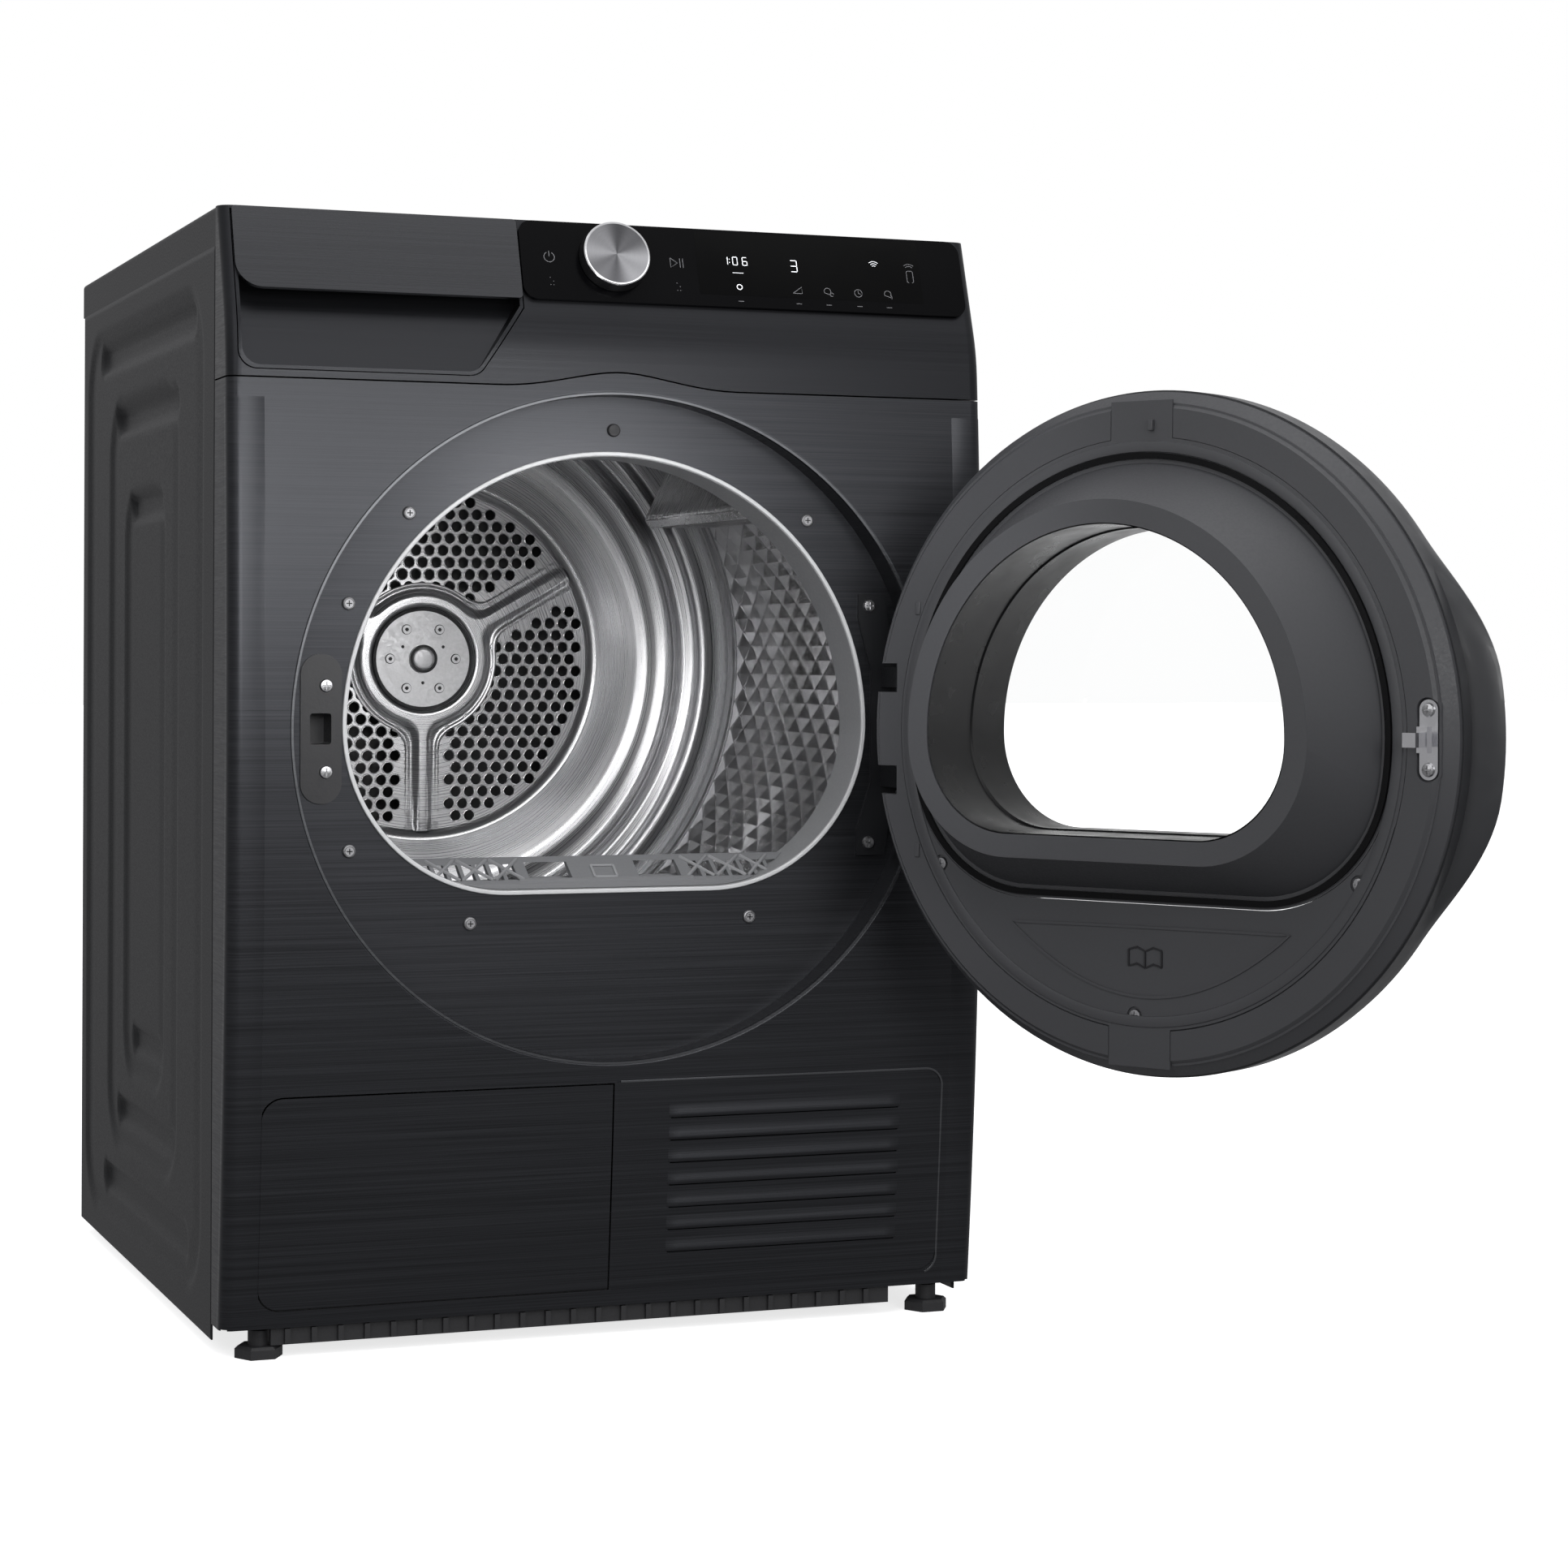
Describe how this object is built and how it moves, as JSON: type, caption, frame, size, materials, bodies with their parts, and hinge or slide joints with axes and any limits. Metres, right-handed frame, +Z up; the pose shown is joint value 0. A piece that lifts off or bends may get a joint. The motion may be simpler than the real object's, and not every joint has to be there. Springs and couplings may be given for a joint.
{
  "type": "heat pump clothes dryer",
  "caption": "Front-loading heat pump clothes dryer, round door open, with drum, water drawer, programme knob, lint filter and access flap.",
  "frame": {"origin": "on the floor under the middle of the cabinet", "axes": "+X to the right seen from the front, +Y to the back, +Z up; the door opens toward -Y"},
  "size_m": [0.7866, 1.0951, 0.85],
  "materials": {
    "front_steel": "dark horizontally brushed",
    "side_paint": "dark grey satin paint",
    "galvanised": "zinc-coated sheet",
    "console_black": "black gloss",
    "console_frame": "dark grey satin lacquer",
    "knob_metal": "turned, fine lines",
    "drum_steel": "bright stainless",
    "dark_plastic": "matt dark grey, fine grain",
    "black_plastic": "smooth black",
    "grey_plastic": "light grey",
    "tank_plastic": "natural translucent grey",
    "base_plastic": "black filled",
    "chrome": "bright",
    "screw_steel": "black zinc",
    "rubber": "matt",
    "felt": "wool felt",
    "glass": "clear",
    "alloy_fins": "plain",
    "copper": "plain copper",
    "bronze": "sintered bearing metal",
    "board": "green circuit board",
    "cast": "black paint",
    "motor_steel": "plain sheet",
    "zinc": "machined"
  },
  "bodies": {
    "cabinet": {"base_tray": "base_plastic", "side_panel_left": "side_paint", "side_panel_right": "side_paint", "rear_panel": "galvanised", "top_cover": "side_paint", "front_panel": "front_steel", "fascia": "console_frame", "console_glass": "console_black", "display_board": "board", "front_bulkhead": "galvanised", "porthole_tunnel": "grey_plastic", "porthole_bezel": "chrome", "catch_plate": "black_plastic", "front_screws": "screw_steel", "hinge_bracket": "side_paint", "drum_seals": "felt", "rear_duct": "galvanised", "bearing_housing": "galvanised", "shaft_bearing": "bronze", "heat_exchanger_housing": "base_plastic", "heat_exchanger_lid": "grey_plastic", "evaporator": "alloy_fins", "condenser": "alloy_fins", "compressor": "cast", "refrigerant_pipes": "copper", "motor": "motor_steel", "fan_housing": "base_plastic", "drive_belt": "rubber", "drain_pump": "black_plastic", "power_inlet": "black_plastic", "hinge_pins": "zinc"},
    "door": {"door_frame": "dark_plastic", "door_bowl": "dark_plastic", "door_cover": "dark_plastic", "door_screws": "screw_steel", "door_seal": "rubber", "door_glass": "glass", "door_outer": "black_plastic", "latch": "chrome", "door_hinge": "side_paint"},
    "drum": {"drum_shell": "drum_steel", "drum_back": "drum_steel", "hub_plate": "drum_steel", "drum_shaft": "zinc", "drum_lifters": "drum_steel"},
    "rotor": {"motor_rotor": "zinc", "fan_impeller": "grey_plastic"},
    "drawer": {"drawer_front": "console_frame", "drawer_liner": "console_frame", "water_tank": "tank_plastic", "tank_lid": "grey_plastic"},
    "roller_left": {"roller_left": "rubber"},
    "roller_right": {"roller_right": "rubber"},
    "knob": {"knob": "knob_metal"},
    "flap": {"access_flap": "front_steel"},
    "filter": {"lint_filter": "grey_plastic"},
    "foot_front_left": {"foot_front_left": "base_plastic"},
    "foot_front_right": {"foot_front_right": "base_plastic"},
    "foot_rear_left": {"foot_rear_left": "base_plastic"},
    "foot_rear_right": {"foot_rear_right": "base_plastic"}
  },
  "joints": [
    {"name": "door_hinge", "type": "hinge", "parent": "cabinet", "child": "door", "pos_m": [0.2323, -0.342, 0.463], "axis": [0, 0, 1], "range_deg": [-120.5, 40]},
    {"name": "drum_spin", "type": "hinge", "parent": "cabinet", "child": "drum", "pos_m": [0, 0, 0.514], "axis": [0, 1, 0], "continuous": true},
    {"name": "motor_spin", "type": "hinge", "parent": "cabinet", "child": "rotor", "pos_m": [0.11, 0, 0.12], "axis": [0, 1, 0], "continuous": true},
    {"name": "roller_left_spin", "type": "hinge", "parent": "cabinet", "child": "roller_left", "pos_m": [-0.16814, -0.226, 0.24491], "axis": [0, 1, 0], "continuous": true},
    {"name": "roller_right_spin", "type": "hinge", "parent": "cabinet", "child": "roller_right", "pos_m": [0.16814, -0.226, 0.24491], "axis": [0, 1, 0], "continuous": true},
    {"name": "knob_turn", "type": "hinge", "parent": "cabinet", "child": "knob", "pos_m": [0, -0.29262, 0.81952], "axis": [0, -0.9472, 0.3206], "continuous": true},
    {"name": "drawer_slide", "type": "slide", "parent": "cabinet", "child": "drawer", "axis": [0, -1, 0], "range_m": [0, 0.4]},
    {"name": "flap_hinge", "type": "hinge", "parent": "cabinet", "child": "flap", "pos_m": [-0.1385, -0.3041, 0.0365], "axis": [1, 0, 0], "range_deg": [0, 90]},
    {"name": "filter_lift", "type": "slide", "parent": "cabinet", "child": "filter", "axis": [0, 0, 1], "range_m": [0, 0.14]},
    {"name": "foot_front_left_level", "type": "slide", "parent": "cabinet", "child": "foot_front_left", "axis": [0, 0, -1], "range_m": [0, 0.015]},
    {"name": "foot_front_right_level", "type": "slide", "parent": "cabinet", "child": "foot_front_right", "axis": [0, 0, -1], "range_m": [0, 0.015]},
    {"name": "foot_rear_left_level", "type": "slide", "parent": "cabinet", "child": "foot_rear_left", "axis": [0, 0, -1], "range_m": [0, 0.015]},
    {"name": "foot_rear_right_level", "type": "slide", "parent": "cabinet", "child": "foot_rear_right", "axis": [0, 0, -1], "range_m": [0, 0.015]}
  ],
  "couplings": [
    {"joint": "motor_spin", "follows": "drum_spin", "ratio": 31.889},
    {"joint": "roller_left_spin", "follows": "drum_spin", "ratio": -9.5667},
    {"joint": "roller_right_spin", "follows": "drum_spin", "ratio": -9.5667}
  ]
}
